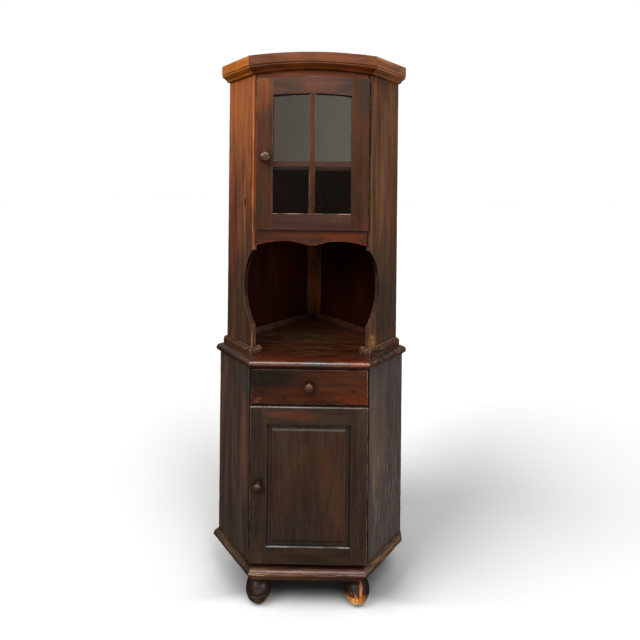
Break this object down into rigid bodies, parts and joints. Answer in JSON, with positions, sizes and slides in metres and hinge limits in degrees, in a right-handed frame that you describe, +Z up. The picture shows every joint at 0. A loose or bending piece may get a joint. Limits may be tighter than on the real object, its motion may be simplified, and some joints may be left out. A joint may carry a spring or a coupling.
{
  "type": "corner cupboard",
  "caption": "Tall corner cupboard: glazed door over an open niche, a drawer and a panelled door below, on turned bun feet.",
  "frame": {"origin": "middle of the bounding box's base, on the floor", "axes": "+Z up along the cupboard's height; the doors and drawer face -Y; the two walls meet in the rear corner towards +Y; +X to the right of someone facing the front"},
  "size_m": [0.724, 0.5406, 1.925],
  "materials": {
    "stained_side": "satin stained pine, dark walnut brown, vertical grain",
    "stained_side_warm": "satin stained pine, faded to orange brown near the top",
    "stained_front": "satin stained pine, purple grey brown",
    "stained_drawer": "satin stained pine, red brown",
    "stained_rail": "satin stained pine, orange brown",
    "stained_top": "satin stained pine, worn on its nose",
    "stained_inside": "dark stained inside faces",
    "cornice": "satin stained moulding",
    "turned": "turned, stained, rubbed bare in places",
    "bare_pine": "unfinished pine, aged",
    "glass": "clear window glass",
    "hinge_brass": "aged brass"
  },
  "bodies": {
    "carcass": {"foot_front_left": "turned", "foot_front_right": "turned", "foot_rear": "turned", "plinth_board": "stained_top", "counter_top": "stained_top", "lower_side_left": "stained_side", "lower_side_right": "stained_side", "lower_back_left": "bare_pine", "lower_back_right": "bare_pine", "lower_corner_post": "stained_inside", "lower_shelf": "stained_inside", "drawer_divider": "stained_inside", "drawer_guide_left": "bare_pine", "drawer_guide_right": "bare_pine", "upper_side_left": "stained_side_warm", "upper_side_right": "stained_side", "upper_back_left": "bare_pine", "upper_back_right": "bare_pine", "niche_batten_left": "stained_inside", "niche_batten_right": "stained_inside", "upper_corner_post": "stained_inside", "cabinet_floor": "stained_inside", "glazed_shelf": "stained_inside", "top_board": "stained_inside", "apron_rail": "stained_rail", "arch_rail": "stained_rail", "waist_moulding_left": "cornice", "waist_moulding_right": "cornice", "cornice_front": "cornice", "cornice_left": "cornice", "cornice_right": "cornice", "lower_hinge_bottom_fixed_leaf": "hinge_brass", "lower_hinge_top_fixed_leaf": "hinge_brass", "upper_hinge_bottom_fixed_leaf": "hinge_brass", "upper_hinge_top_fixed_leaf": "hinge_brass"},
    "drawer": {"drawer_front": "stained_drawer", "drawer_side_left": "bare_pine", "drawer_side_right": "bare_pine", "drawer_bottom": "bare_pine", "drawer_back": "bare_pine", "drawer_knob": "turned"},
    "lower_door": {"lower_door_stile_left": "stained_front", "lower_door_stile_right": "stained_front", "lower_door_rail_top": "stained_front", "lower_door_rail_bottom": "stained_front", "lower_door_panel": "stained_front", "lower_door_knob": "turned", "lower_hinge_bottom_door_leaf": "hinge_brass", "lower_hinge_top_door_leaf": "hinge_brass"},
    "upper_door": {"upper_door_stile_left": "stained_front", "upper_door_stile_right": "stained_front", "upper_door_rail_top": "stained_front", "upper_door_rail_bottom": "stained_front", "glazing_bar_vertical": "stained_front", "glazing_bar_horizontal": "stained_front", "glass_pane": "glass", "upper_door_knob": "turned", "upper_hinge_bottom_door_leaf": "hinge_brass", "upper_hinge_top_door_leaf": "hinge_brass"}
  },
  "joints": [
    {"name": "upper_door_hinge", "type": "hinge", "parent": "carcass", "child": "upper_door", "pos_m": [0.20791, -0.1753, 1.567], "axis": [0, 0, 1], "range_deg": [0, 135]},
    {"name": "lower_door_hinge", "type": "hinge", "parent": "carcass", "child": "lower_door", "pos_m": [0.20872, -0.2195, 0.417], "axis": [0, 0, 1], "range_deg": [0, 135]},
    {"name": "drawer_slide", "type": "slide", "parent": "carcass", "child": "drawer", "axis": [0, -1, 0], "range_m": [0, 0.2]}
  ]
}
